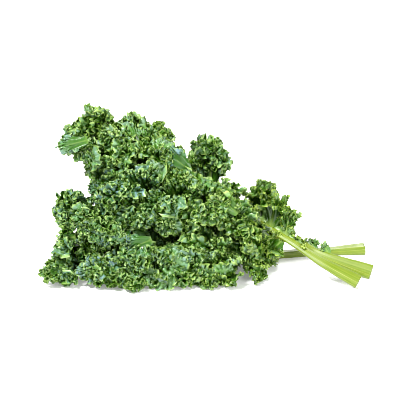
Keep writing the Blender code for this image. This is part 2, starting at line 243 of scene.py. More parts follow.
# Lobes placed one by one, to fill the outline and, where they have no strips, to show plain faces:
# leaf, root, degrees in the picture's plane, lean to the front, length, share of the width,
# strips, warmth
TUFTS = (
    ("middle", (-129, -45, 47), 182, 0.1, 18, 1.0, 2, 0.4),
    ("lower", (-134, -50, 22), 165, 0.1, 18, 0.9, 2, 0.4),
    ("lower", (-141, -60, 18), 198, 0.1, 22, 0.8, 2, 0.4),
    ("lower", (-69, -63, 12), 270, 0.8, 19, 1.0, 2, 0.4),
    ("lower", (-92, -60, 12), 262, 0.8, 14, 0.9, 2, 0.4),
    ("lower", (-22, -55, 12), 270, 0.8, 17, 1.0, 2, 0.4),
    ("lower", (5, -57, 13), 268, 0.7, 20, 0.9, 2, 0.8),
    ("lower", (23, -52, 14), 282, 0.7, 20, 0.8, 2, 0.8),
    ("upper", (16, -20, 84), 65, 0.0, 16, 0.9, 2, 0.8),
    ("upper", (1, 0, 119), 90, 0.0, 15, 1.1, 2, 0.4),
    ("upper", (-26, 0, 106), 98, 0.0, 22, 0.7, 2, 0.3),
    ("upper", (70, -20, 44), 195, 0.5, 30, 0.8, 1, 1.1),
    ("upper", (57, -18, 52), 165, 0.4, 24, 0.8, 1, 1.0),
    ("upper", (-116, -22, 142), 194, 0.1, 33, 0.5, 0, -0.15),
    ("upper", (-14, -24, 110), 140, 0.1, 34, 0.6, 0, -0.6),
    ("middle", (-52, -60, 50), 200, 0.15, 30, 0.7, 0, -0.4),
    ("upper", (34, -44, 72), 140, 0.15, 32, 0.6, 0, 1.3),
    ("upper", (-68, -4, 130), 110, 0.1, 26, 0.6, 0, 0.2),
    ("lower", (-102, -62, 20), 188, 0.15, 28, 0.5, 0, -0.3),
)
TUFT_WAVES, TUFT_BEND, TUFT_GIVE = (1.3, 2.2), (-0.5, -0.1), 0.7

# Directions that a tuft is placed by: right and up in the picture's plane, and to the camera
RIGHT, RISE, FRONT = np.array((1.0, 0, 0)), np.array((0, 0.34, 0.94)), np.array((0, -0.94, 0.34))

# Lobes in a piece, and what tells the random draws of a leaf apart
PER_PIECE = 12
STEM_SEED, SKIRT_SEED, TUFT_SEED, FRILL_SEED = 100, 1, 2, 3


def unit(v):
    """Vectors scaled to a length of one."""
    return v / np.maximum(np.linalg.norm(v, axis=-1, keepdims=True), 1e-12)


def smooth(low, high, value):
    """A smooth step from 0 to 1."""
    t = np.clip((value - low) / (high - low), 0, 1)
    return t * t * (3 - 2 * t)


def run_of(line):
    """Distance along a line of points."""
    return np.concatenate([[0], np.cumsum(np.linalg.norm(np.diff(line, axis=0), axis=1))])


def drift(run, spacing, draw):
    """A slow random change from -1 to 1 along a margin."""
    count = int(run[-1] / spacing) + 3
    return np.interp(run / spacing, np.arange(count), draw.uniform(-1, 1, count))


class Leaf:
    """The line of a leaf's midrib, with its frame at any share of its length."""

    SAMPLES = 240
    STEP = 0.01

    def __init__(self, name, facts):
        self.name = name
        self.facts = facts
        self.draw = np.random.default_rng(facts["seed"])
        knots = np.array(facts["midrib"], float) * MM
        ends = np.vstack([2 * knots[0] - knots[1], knots, 2 * knots[-1] - knots[-2]])
        pieces = []
        for a, b, c, d in zip(ends, ends[1:], ends[2:], ends[3:]):
            t = np.linspace(0, 1, self.SAMPLES // len(knots), endpoint=False)[:, None]
            pieces.append(0.5 * (2 * b + (c - a) * t + (2 * a - 5 * b + 4 * c - d) * t**2
                                 + (3 * b - a - 3 * c + d) * t**3))
        self.line = np.vstack(pieces + [knots[-1:]])
        run = run_of(self.line)
        self.share = run / run[-1]

    def point(self, share):
        """The place on the midrib's line."""
        return np.stack([np.interp(share, self.share, self.line[:, k]) for k in range(3)], -1)

    def frame(self, share):
        """Unit vectors along the midrib, out to its side, and out of the leaf's upper face."""
        ahead, behind = min(share + self.STEP, 1.0), max(share - self.STEP, 0.0)
        along = unit(self.point(ahead) - self.point(behind))
        side = unit(np.cross(along, np.array(self.facts["faces"])))
        return along, side, np.cross(side, along)

    def half_width(self, share):
        """The stem's radius, before its width and height are set apart."""
        return np.interp(share, HALF_WIDTH_AT, HALF_WIDTH_MM) * MM

    def saddle_radius(self, share):
        """How far from the midrib's line the lobes have their roots."""
        return self.half_width(share) * STEM_WIDE + (SADDLE_GAP_MM + SADDLE_WALL_MM / 2) * MM

    def middle_at(self, x):
        """The midrib's place across the bunch, (y, z), where it passes x."""
        order = np.argsort(self.line[:, 0])
        return np.stack(
            [np.interp(x, self.line[order, 0], self.line[order, k]) for k in (1, 2)], -1)


def eased(reach, limit, free_share):
    """Reach kept as it is up to a share of the limit, and then drawn in so that it stays below."""
    free = free_share * limit
    rest = limit - free
    return np.where(reach < free, reach, free + rest * (1 - np.exp(-(reach - free) / rest)))


def leaf_bounds(points, leaf, leaves):
    """Where other leaves hem a leaf in: a unit direction to each bound, and the reach it leaves."""
    middle = leaf.middle_at(points[..., 0])
    for other in leaves:
        if other is not leaf:
            away = other.middle_at(points[..., 0]) - middle
            toward = unit(away * LEAN)
            yield toward, (away * toward).sum(-1) / 2 - (LEAF_GAP_MM + BLADE_MM) / 2 * MM


def pressed(points, leaf, leaves):
    """Points of a blade pressed back where another leaf or the table hems them in."""
    middle = leaf.middle_at(points[..., 0])
    out = points[..., 1:] - middle
    for toward, limit in leaf_bounds(points, leaf, leaves):
        reach = np.maximum((out * toward).sum(-1), 0)
        over = reach - eased(reach, limit, PRESS_FREE)
        aside = np.stack([toward[..., 1], -toward[..., 0]], -1)
        spread = SPREAD * over * np.tanh((out * aside).sum(-1) / (SPREAD_OVER_MM * MM))
        out = out + spread[..., None] * aside - over[..., None] * toward
    above = middle[..., 1] - BLADE_MM / 2 * MM
    out[..., 1] = -eased(-out[..., 1], above, PRESS_FREE)
    keep = np.ones(out.shape[:-1])
    for toward, limit in leaf_bounds(points, leaf, leaves):
        reach = np.maximum((out * toward).sum(-1), MM / 1000)
        keep = np.minimum(keep, eased(reach, limit, FIRM_FREE) / reach)
    return np.concatenate([points[..., :1], middle + out * keep[..., None]], -1)


def give_of(spots, swing, leaf, leaves):
    """How much of its full swing a lobe's wave keeps where the lobe is pressed."""
    tall = pressed(spots + swing, leaf, leaves) - pressed(spots - swing, leaf, leaves)
    return np.linalg.norm(tall, axis=-1).min() / (2 * np.linalg.norm(swing))


def held_back(grid):
    """The grid with what reaches far to the front drawn in."""
    ahead = np.minimum(grid[..., 1] - FRONT_FREE_MM * MM, 0)
    ease = (FRONT_FREE_MM - FRONT_MM) * MM
    grid[..., 1] = np.maximum(grid[..., 1], FRONT_FREE_MM * MM) - ease * (1 - np.exp(ahead / ease))
    return grid


def above_table(grid):
    """Points kept above the table, the lowest ones eased up to it."""
    floor = TABLE_MM * MM
    ease = TABLE_EASE_MM * MM
    z = grid[..., 2]
    low = floor + ease * np.exp((z - floor - ease) / ease)
    grid[..., 2] = np.where(z < floor + ease, low, z)
    return grid


def tame(share):
    """How flat and open the lobes are: 1 by the stems, 0 along most of the leaf."""
    return 1 - smooth(NECK - NECK_BEFORE, NECK + NECK_AFTER, share)


def lobe_plan(leaf):
    """Where a leaf's lobes grow: share, roll about the midrib, sweep to the tip, length, width."""
    draw = leaf.draw
    for side in ("far", "near"):
        for share, raised, length, *narrow in leaf.facts[side]:
            raised = math.radians(raised + draw.uniform(-RAISE_DRAW, RAISE_DRAW))
            roll = raised if side == "far" else math.pi - raised
            sweep = SWEEP_FROM + SWEEP_MORE * share + draw.uniform(-SWEEP_DRAW, SWEEP_DRAW)
            narrow = narrow[0] if narrow else 1.0
            yield share * RIB_END, roll, math.radians(sweep), length * MM, narrow
    length, narrow = leaf.facts["tip"]
    yield 1.0, math.pi / 2, math.radians(TIP_SWEEP), length * MM, narrow


def lobe_grid(root, axes, root_line, length, narrow, waves, phase, bend, twist, give, cut):
    """A lobe's broad form as a grid of points, rows from its root to its margin."""
    out, across, normal = axes
    step = LOBE_EVERY[0]
    full = min(1.0, max(LEAST_COLUMNS, length / (ALL_COLUMNS_MM * MM)))
    m = np.linspace(-1, 1, step * round(LOBE_COLUMNS / step * full) + 1)[None, :]
    row = LOBE_RISE[:, None]
    far = length * np.cos(MARGIN_ROUND * m) ** MARGIN_BLUNT
    far = far * (1 + MARGIN_SWELL * np.sin(MARGIN_SWELLS * m + phase))
    notch = 1 - np.abs(np.sin(CUTS * math.pi * m + 2 * phase)) ** CUT_SHARP
    far = far * (1 - cut * notch * smooth(CUT_FROM, 1.0, row))
    reach = row * far * np.cos(m * FAN * narrow)
    aside = row * far * np.sin(m * FAN * narrow) + ROOT_MM / 2 * MM * m * (1 - row)
    lift = WAVE * row**1.5 * np.sin(waves * math.pi * m + phase) * length * give
    turn = bend / length
    level = np.sin(turn * reach) / turn - lift * np.sin(turn * reach)
    height = (1 - np.cos(turn * reach)) / turn + lift * np.cos(turn * reach)
    turned = across * np.cos(twist * row) + normal * np.sin(twist * row)
    turned = unit(turned + (root_line - turned) * np.maximum(1 - 2 * row, 0))
    tilted = normal * np.cos(twist * row) - across * np.sin(twist * row)
    return (root + level[..., None] * out + aside[..., None] * turned[:, None]
            + height[..., None] * tilted[:, None])


def lobe_base(leaf, leaves, share, roll, sweep, length, narrow=1.0, free=None):
    """The grid of a lobe that grows from a midrib, and the way that it faces.

    One that draws from a generator of its own, free, isn't pressed back by the other leaves.
    """
    draw = free or leaf.draw
    along, side, up = leaf.frame(share)
    outward = math.cos(roll) * side + math.sin(roll) * up
    out = math.cos(sweep) * outward + math.sin(sweep) * along
    root_line = side if sweep == math.radians(TIP_SWEEP) else along
    across = unit(root_line - out * (root_line @ out))
    normal = np.cross(out, across)
    normal = normal if normal @ up > 0 else -normal
    root = leaf.point(share) + outward * leaf.saddle_radius(share)
    waves, phase = draw.uniform(*WAVES), draw.uniform(0, 2 * math.pi)
    bend, twist = draw.uniform(*leaf.facts["bend"]), draw.uniform(-TWIST, TWIST)
    give = give_of(root + GIVE_AT * length * out, WAVE * length * normal, leaf, leaves)
    cut = CUT_DEEP + (NECK_CUT - CUT_DEEP) * tame(share)
    grid = lobe_grid(root, (out, across, normal), root_line, length, narrow,
                     waves, phase, bend, twist, give, cut)
    if free is None:
        grid = pressed(grid, leaf, leaves)
    grid = held_back(grid)
    sink = leaf.saddle_radius(share) - SINK_IN * leaf.half_width(share)
    grid = grid - outward * sink * (1 - smooth(0.0, SINK_OVER, LOBE_RISE))[:, None, None]
    return grid, normal


def tuft_base(place, degrees, toward, length, narrow, draw):
    """The grid of a lobe whose root is hidden among others, turned to the front."""
    angle = math.radians(degrees)
    out = unit(math.cos(angle) * RIGHT + math.sin(angle) * RISE + toward * FRONT)
    normal = unit(FRONT - out * (FRONT @ out))
    across = np.cross(normal, out)
    waves, phase = draw.uniform(*TUFT_WAVES), draw.uniform(0, 2 * math.pi)
    bend, twist = draw.uniform(*TUFT_BEND), draw.uniform(-TWIST, TWIST) / 2
    grid = lobe_grid(np.array(place) * MM, (out, across, normal), across, length, narrow,
                     waves, phase, bend, twist, TUFT_GIVE, CUT_DEEP)
    return grid, normal


def axes_of(grid, face):
    """Unit vectors over a grid of points: along its rows, up to its margin, and out of its face."""
    along = unit(np.gradient(grid, axis=1))
    rising = np.gradient(grid, axis=0)
    rising = unit(rising - along * (rising * along).sum(-1, keepdims=True))
    normal = np.cross(along, rising)
    if (normal * face).sum() < 0:
        normal = -normal
    return along, rising, normal


def ruffled(grid, rise, face, length, tall, deep, draw):
    """The grid with waves that grow towards its margin and lean over at their sides."""
    along, rising, normal = axes_of(grid, face)
    run = run_of(grid[-2])
    height = np.linalg.norm(grid[-1] - grid[0], axis=-1).mean()
    up = (rise * height)[:, None]
    phase = (2 * math.pi * run / length + PHASE_DRIFT * drift(run, PHASE_OVER * length, draw)
             + draw.uniform(0, ANY_PHASE))
    phase = phase + draw.uniform(-SLANT, SLANT) * (1 - rise[:, None]) ** SLANT_CURVE
    sway = 2 * math.pi * up / (SWAY_MM * MM) + SWAY_DRIFT * drift(run, SWAY_OVER * length, draw)
    phase = phase + SWAY * np.sin(sway)
    begin = max(1 - deep / height, LEAST_BEGIN)
    size = tall * (1 + TALL_DRIFT * drift(run, TALL_OVER * length, draw))
    size = size * smooth(begin, 1.0, rise)[:, None]
    lift = (size * np.sin(phase))[..., None]
    lean = (-LEAN_OVER * size * np.sin(2 * phase))[..., None]
    push = (PUSH * size * np.sin(phase * PUSH_PACE + PUSH_PHASE))[..., None]
    return grid + lift * normal + lean * along + push * rising


def toothed(grid, rise, draw):
    """The grid with small teeth along its margin."""
    _, rising, _ = axes_of(grid, np.zeros(3))
    run = run_of(grid[-1])
    pitch = TOOTH_MM * MM
    phase = run / pitch + TOOTH_DRIFT * drift(run, TOOTH_OVER * TOOTH_MM * MM, draw)
    tooth = 2 * np.abs(phase % 1 - 0.5)
    uneven = 1 + TOOTH_TALL_DRIFT * drift(run, TOOTH_TALL_OVER * TOOTH_MM * MM, draw)
    tall = TOOTH_TALL_MM * MM * uneven * tooth
    return grid + (smooth(TOOTH_FROM, 1.0, rise)[:, None] * tall)[..., None] * rising


def frilled(grid, rise, face, draw, size=1.0):
    """The grid with broad curls, fine frills on them, and teeth."""
    grid = ruffled(grid, rise, face, CURL_MM * MM, size * CURL_TALL_MM * MM,
                   CURL_DEEP_MM * MM, draw)
    grid = ruffled(grid, rise, face, FRILL_MM * MM, size * FRILL_TALL_MM * MM,
                   FRILL_DEEP_MM * MM, draw)
    return toothed(grid, rise, draw)


def strip_base(grid, face, at, draw, sign):
    """A strip that stands on a lobe's face along its margin, as a grid of points."""
    last = grid.shape[1] - 1
    step = STRIP_EVERY[0]
    count = STRIP_COLUMNS * last // LOBE_COLUMNS // step * step + 1
    m = np.linspace(*STRIP_SPAN, count) * last
    wander = m / last * 2 * math.pi * draw.uniform(*STRIP_WANDERS) + draw.uniform(0, ANY_PHASE)
    _, rising, normal = axes_of(grid, face)
    columns = np.round(m).astype(int)
    place = np.interp(at + STRIP_WANDER * np.sin(wander), LOBE_RISE, np.arange(len(LOBE_RISE)))
    low = np.clip(np.floor(place).astype(int), 0, len(LOBE_RISE) - 2)
    part = (place - low)[:, None]
    foot = grid[low, columns] * (1 - part) + grid[low + 1, columns] * part
    stand = unit(sign * normal[low, columns] + STRIP_SLANT * rising[low, columns])
    tall = STRIP_TALL_MM * MM * (1 + STRIP_DRIFT * drift(run_of(foot), STRIP_DRIFT_MM * MM, draw))
    share = np.linspace(0, 1, len(m))
    ends = smooth(0, STRIP_END, share) * smooth(0, STRIP_END, np.linspace(1, 0, len(m)))
    tall = tall * (STRIP_LOW + (1 - STRIP_LOW) * ends)
    return foot[None] + STRIP_RISE[:, None, None] * tall[None, :, None] * stand[None]


class Sheets:
    """Triangles gathered for one piece."""

    def __init__(self):
        self.points, self.faces, self.looks, self.maps, self.count = [], [], [], [], 0

    def grid(self, grid, every, look, uv):
        """Adds a grid, of which each row keeps every so many columns."""
        points = [grid[k, ::step] for k, step in enumerate(every)]
        starts = self.count + np.cumsum([0] + [len(row) for row in points])
        for k in range(len(every) - 1):
            a, b = starts[k], starts[k + 1]
            j = np.arange(len(points[k]) - 1)
            if every[k] == every[k + 1]:
                self.faces.append(np.stack([a + j, a + j + 1, b + j + 1], -1))
                self.faces.append(np.stack([a + j, b + j + 1, b + j], -1))
            else:
                self.faces.append(np.stack([a + j, b + 2 * j + 1, b + 2 * j], -1))
                self.faces.append(np.stack([a + j, a + j + 1, b + 2 * j + 1], -1))
                self.faces.append(np.stack([a + j + 1, b + 2 * j + 2, b + 2 * j + 1], -1))
        self.points += points
        self.looks += [look[k, ::step] for k, step in enumerate(every)]
        self.maps += [uv[k, ::step] for k, step in enumerate(every)]
        self.count = starts[-1]

    def made(self, name, material):
        """The object, in its place in the frame."""
        points, faces = np.concatenate(self.points), np.concatenate(self.faces)
        maps = np.concatenate(self.maps)[faces.ravel()]
        mesh = bpy.data.meshes.new(name)
        mesh.vertices.add(len(points))
        mesh.vertices.foreach_set("co", (points + SHIFT_MM * MM).astype(np.float32).ravel())
        mesh.loops.add(faces.size)
        mesh.loops.foreach_set("vertex_index", faces.astype(np.int32).ravel())
        mesh.polygons.add(len(faces))
        mesh.polygons.foreach_set("loop_start", np.arange(0, faces.size, 3, dtype=np.int32))
        mesh.polygons.foreach_set("use_smooth", np.ones(len(faces), bool))
        mesh.update(calc_edges=True)
        colours = mesh.color_attributes.new("leaf", "FLOAT_COLOR", "POINT")
        looks = np.concatenate(self.looks)
        colours.data.foreach_set("color", looks.astype(np.float32).ravel())
        layer = mesh.uv_layers.new(name="blade")
        layer.uv.foreach_set("vector", maps.astype(np.float32).ravel())
        mesh.materials.append(material)
        mesh.validate()
        made = bpy.data.objects.new(name, mesh)
        bpy.context.scene.collection.objects.link(made)
        return made


def look_of(shape, margin, pale, warmth):
    """What the materials read at each point, kept as a colour."""
    look = np.ones(shape + (4,))
    look[..., 0] = margin
    look[..., 1] = pale
    look[..., 2] = warmth
    return look


def map_of(u, v):
    """Places on a sheet, for materials that need them."""
    return np.stack(np.broadcast_arrays(u, v), -1)


def closeness(distance):
    """How near the margin is: 1 on it, 0 from CLOSE_MM away."""
    return np.clip(1 - distance / (CLOSE_MM * MM), 0, 1)


def ribs_of(m):
    """How pale a lobe is along its rib and veins, and at its root."""
    spread = RIB_SPREAD + LOBE_RISE[:, None]
    rib = np.exp(-(m[None, :] * spread / RIB_WIDE) ** 2)
    for vein in VEINS:
        rib = rib + VEIN_PALE * np.exp(-((m[None, :] - vein) * spread / VEIN_WIDE) ** 2)
    rib = np.minimum(rib, 1) * (1 - smooth(*RIBS_FADE, LOBE_RISE))[:, None]
    return np.maximum(rib, (1 - smooth(*ROOT_FADE, LOBE_RISE))[:, None])


class Lobe:
    """A lobe's broad form, and what its frills and colours depend on."""

    def __init__(self, base, length, strips, frill=1.0, share=None, warmth=None):
        self.grid, self.face = base
        self.length = length
        self.strips = strips
        self.frill = frill
        self.share = share
        self.warmth = warmth


def add_lobe(sheets, lobe, warmth, draw, plain=False):
    """A lobe with its frills and strips. A plain one has broad ruffles and a more even face."""
    size = min(1.0, lobe.length / (FULL_FRILL_MM * MM)) * lobe.frill
    margin = closeness((1 - LOBE_RISE) * CLOSE_SHARE * lobe.length)
    m = np.linspace(-1, 1, lobe.grid.shape[1])
    pale = ribs_of(m)
    if plain:
        full = ruffled(lobe.grid, LOBE_RISE, lobe.face, PLAIN_MM * MM, PLAIN_TALL_MM * MM,
                       PLAIN_DEEP_MM * MM, draw)
        # Painted shade kept lighter on a plain face: its closeness to the margin is at least
        # PLAIN_TONE
        margin = np.maximum(margin, PLAIN_TONE)
        pale = pale * PLAIN_PALE
    else:
        full = frilled(lobe.grid, LOBE_RISE, lobe.face, draw, size)
    look = look_of(full.shape[:2], margin[:, None], pale, warmth)
    sheets.grid(above_table(full), LOBE_EVERY, look, map_of(m[None, :], LOBE_RISE[:, None]))
    for at in lobe.strips:
        sign = 1 if draw.uniform() < STRIP_IN_FRONT else -1
        at = at + draw.uniform(-STRIP_SHIFT, STRIP_SHIFT)
        strip = strip_base(lobe.grid, lobe.face, at, draw, sign)
        strip = above_table(frilled(strip, STRIP_RISE, lobe.face, draw, STRIP_FRILL * size))
        margin = closeness((1 - STRIP_RISE) * STRIP_TALL_MM * MM)
        look = look_of(strip.shape[:2], margin[:, None], 0.0, warmth)
        u = np.linspace(-1, 1, strip.shape[1])
        v = STRIP_V + (1 - STRIP_V) * STRIP_RISE
        sheets.grid(strip, STRIP_EVERY, look, map_of(u[None, :], v[:, None]))


def add_wing(sheets, leaf, hand, first, draw):
    """The blade's edge along one side of the midrib, which joins the roots of the lobes."""
    shares = np.linspace(first, WING_END, WING_COLUMNS + 1)
    centre = leaf.point(shares)
    along = unit(np.gradient(centre, axis=0))
    side = hand * unit(np.cross(along, np.array(leaf.facts["faces"])))
    up = hand * np.cross(side, along)
    out = unit(side + WING_RAISED * up)
    wide = WING_MM * MM * smooth(0, WING_TAPER, np.linspace(0, 1, WING_COLUMNS + 1))
    wide = wide * (1 + WING_DRIFT * drift(run_of(centre), WING_DRIFT_MM * MM, draw))
    start = SINK_IN * np.interp(shares, HALF_WIDTH_AT, HALF_WIDTH_MM) * MM
    reach = start + WING_RISE[:, None] * wide
    grid = centre + reach[..., None] * out
    grid = above_table(frilled(grid, WING_RISE, up.mean(0), draw))
    margin = closeness((1 - WING_RISE)[:, None] * wide)
    pale = (1 - smooth(0.0, WING_PALE, WING_RISE))[:, None]
    look = look_of(grid.shape[:2], margin, pale, WING_WARMTH)
    sheets.grid(grid, WING_EVERY, look, map_of(shares[None, :] * WING_U, WING_RISE[:, None]))


def lobes_of(leaf, leaves):
    """All the lobes of a leaf: those of its plan, its skirts and its tufts."""
    lobes = []
    for share, roll, sweep, length, narrow in lobe_plan(leaf):
        base = lobe_base(leaf, leaves, share, roll, sweep, length, narrow)
        strips = STRIPS if share > NECK else STRIPS[2:3]
        lobes.append(Lobe(base, length, strips, 1 - (1 - NECK_FRILL) * tame(share), share))
    for k, (side, share, raised, length, narrow) in enumerate(SKIRTS[leaf.name]):
        roll = math.radians(raised if side == "far" else 180 - raised)
        share, length = share * RIB_END, length * MM
        own = np.random.default_rng((leaf.facts["seed"], SKIRT_SEED, k))
        base = lobe_base(leaf, leaves, share, roll, math.radians(SKIRT_SWEEP), length, narrow, own)
        strips = STRIPS[1:] if share > NECK else ()
        lobes.append(Lobe(base, length, strips, 1 - (1 - NECK_FRILL) * tame(share), share))
    for k, (owner, place, degrees, toward, length, narrow, strips, warmth) in enumerate(TUFTS):
        if owner == leaf.name:
            own = np.random.default_rng((leaf.facts["seed"], TUFT_SEED, k))
            base = tuft_base(place, degrees, toward, length * MM, narrow, own)
            lobes.append(Lobe(base, length * MM, STRIPS[1:1 + strips], warmth=warmth))
    return lobes


def warmth_of(leaf, share, drawn):
    """A lobe's warmth: more by the stems, less at the tips of the two leaves that lie lower."""
    far_out = 0.0 if leaf.name == "upper" else smooth(*COOL_SPAN, share)
    return drawn * WARMTH_DRAW + WARMTH_NECK * tame(share) - COOL_TIP * far_out


def blade(leaf, leaves, material, draw):
    """The leaf's blade, in pieces of a few lobes each."""
    sheets, number = Sheets(), 1
    for hand, first in zip((1, -1), leaf.facts["wing_from"]):
        add_wing(sheets, leaf, hand, first, draw)
    lobes = lobes_of(leaf, leaves)
    for k, lobe in enumerate(lobes):
        own = np.random.default_rng((leaf.facts["seed"], FRILL_SEED, k))
        drawn = own.uniform()
        warmth = warmth_of(leaf, lobe.share, drawn) if lobe.warmth is None else lobe.warmth
        add_lobe(sheets, lobe, warmth, own, plain=not lobe.strips)
        if (k + 1) % PER_PIECE == 0 or k + 1 == len(lobes):
            made = sheets.made(f"{leaf.name}_blade_{number}", material)
            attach(made, "root")
            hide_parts(leaf.name + "_blade")
            sheets, number = Sheets(), number + 1


def leaflets(leaf, leaves, material, draw):
    """Small lobes that grow straight from the stem."""
    for k, (share, raised, length, sweep) in enumerate(leaf.facts["leaflets"]):
        sheets = Sheets()
        base = lobe_base(leaf, leaves, share, math.radians(raised), math.radians(sweep),
                         length * MM, LEAFLET_NARROW)
        add_lobe(sheets, Lobe(base, length * MM, (), LEAFLET_FRILL), LEAFLET_WARMTH, draw)
        made = sheets.made(f"{leaf.name}_leaflet_{k + 1}_frilled", material)
        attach(made, "root")
        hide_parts(f"{leaf.name}_leaflet_{k + 1}")


def stem(leaf, material, draw):
    """The stem and midrib: ridged along its length, flatter on its upper face, and cut square."""
    shares = RIB_END * np.linspace(0, 1, STEM_ROWS) ** STEM_ROWS_CURVE
    angle = np.linspace(0, 2 * math.pi, STEM_SIDES + 1)
    ridges = sum(tall * np.cos(count * angle + draw.uniform(0, RIDGE_PHASE))
                 for count, tall in STEM_RIDGES)
    channel = -CHANNEL_DEEP * np.exp(-((angle - math.pi / 2) / CHANNEL_WIDE) ** 2)
    thick, thicker = leaf.facts["thick"]
    rows = []
    for share in shares:
        along, side, up = leaf.frame(share)
        high = np.sin(angle) * np.where(np.sin(angle) > 0, STEM_ABOVE, STEM_BELOW)
        high = high * (thick + thicker * smooth(THICK_FROM, THICK_TO, share))
        size = leaf.half_width(share) * (1 + (ridges + channel) * (1 - RIDGES_FADE * share))
        rows.append(leaf.point(share) + size[:, None] * (
            STEM_WIDE * np.cos(angle)[:, None] * side + high[:, None] * up))
        rows[-1][:, 2] = np.maximum(rows[-1][:, 2], 0.0)
    middle, tip = leaf.point(0.0), leaf.point(RIB_END)
    along = leaf.frame(0.0)[0]
    caps = [middle + (rows[0] - middle) * part + along * CAP_MM * MM * lift
            for part, lift in CAP_RINGS]
    ends = [tip + (rows[-1] - tip) * part for part in TIP_RINGS]
    grid = np.array(caps + rows + ends)
    grid[..., 2] = np.maximum(grid[..., 2], 0.0)
    share = np.concatenate([np.zeros(len(caps)), shares, [RIB_END] * len(ends)])[:, None]
    cut = (np.arange(len(grid)) < len(caps))[:, None]
    sheets = Sheets()
    sheets.grid(grid, (1,) * len(grid), look_of(grid.shape[:2], cut, 0.0, 0.0),
                map_of(angle[None, :] / (2 * math.pi), share))
    made = sheets.made(leaf.name + "_stem_fleshy", material)
    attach(made, "root")
    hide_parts(leaf.name + "_stem")


BUMP_M = 0.0008


class Nodes:
    """A material's nodes, made one by one."""

    def __init__(self, name):
        self.material = bpy.data.materials.new(name)
        self.material.use_nodes = True
        self.tree = self.material.node_tree
        self.shader = self.tree.nodes["Principled BSDF"]
        self.output = self.tree.nodes["Material Output"]

    def add(self, kind, links=(), **facts):
        """A node with its inputs linked or set to values."""
        node = self.tree.nodes.new("ShaderNode" + kind)
        for key, value in facts.items():
            setattr(node, key, value)
        for socket, source in links:
            if isinstance(source, bpy.types.NodeSocket):
                self.tree.links.new(source, node.inputs[socket])
            else:
                node.inputs[socket].default_value = source
        return node

    def mix(self, share, low, high, blend="MIX"):
        """A colour between low and high."""
        node = self.add("Mix", [(0, share), (6, low), (7, high)],
                        data_type="RGBA", blend_type=blend)
        return node.outputs[2]

    def tinted(self, colour, tint):
        """The colour multiplied by a tint."""
        return self.mix(1.0, colour, (*tint, 1.0), "MULTIPLY")

    def ramp(self, value, stops):
        """A colour that follows the value, from stops of a place and a colour."""
        node = self.add("ValToRGB", [(0, value)])
        marks = node.color_ramp.elements
        while len(marks) < len(stops):
            marks.new(0.5)
        for mark, (place, colour) in zip(marks, stops):
            mark.position = place
            mark.color = (*colour, 1.0)
        return node.outputs[0]

    def spread(self, value, low, high, to_low=0.0, to_high=1.0):
        """The value moved from the range low to high into the range to_low to to_high."""
        values = (value, low, high, to_low, to_high)
        return self.add("MapRange", list(enumerate(values))).outputs[0]

    def noise(self, vector, scale, detail):
        """A cloudy value around a half."""
        values = [("Vector", vector), ("Scale", scale), ("Detail", detail)]
        return self.add("TexNoise", values).outputs["Fac"]

    def bump(self, height, strength):
        """Fine relief on the shader's surface."""
        values = [("Height", height), ("Strength", strength), ("Distance", BUMP_M)]
        self.to("Normal", self.add("Bump", values).outputs[0])

    def to(self, socket, source):
        """Links a value to the shader."""
        self.tree.links.new(source, self.shader.inputs[socket])


MOTTLE_SCALE, FINE_SCALE = 85.0, 420.0

# A blade's colours, from deep in the lobe to its margin, and what tints them. The dark stops deep
# in the lobe are painted shade between the folds; the pale stops at the margin are partly the
# margin's own lighter tone and partly painted highlight.
BLADE_COLOURS_SHADE_AND_HIGHLIGHT = (
    (0.0, (0.016, 0.070, 0.001)), (0.4, (0.040, 0.140, 0.006)), (0.7, (0.104, 0.255, 0.052)),
    (0.88, (0.132, 0.283, 0.110)), (0.945, (0.148, 0.292, 0.120)), (0.965, (0.212, 0.362, 0.098)),
    (1.0, (0.318, 0.462, 0.16)))
EDGE = (0.93, 0.97)
BLUE_TINT, YELLOW_TINT, COOL_TINT = (1.3, 1.04, 2.2), (1.2, 1.05, 0.4), (0.78, 0.82, 1.3)
SPECK_TINT, GLOW_TINT = (0.55, 0.6, 0.5), (1.0, 1.0, 0.45)
RIB_COLOUR = (0.26, 0.38, 0.08, 1.0)
# Painted shade: how far the ambient occlusion looks for other sheets, its samples, and the dark,
# saturated tint it lays where they are near
PAINTED_SHADE_M, PAINTED_SHADE_SAMPLES, PAINTED_SHADE_TINT = 0.012, 6, (0.44, 0.68, 0.05)
BLADE_SPECULAR, BLADE_THROUGH = 0.5, 0.12


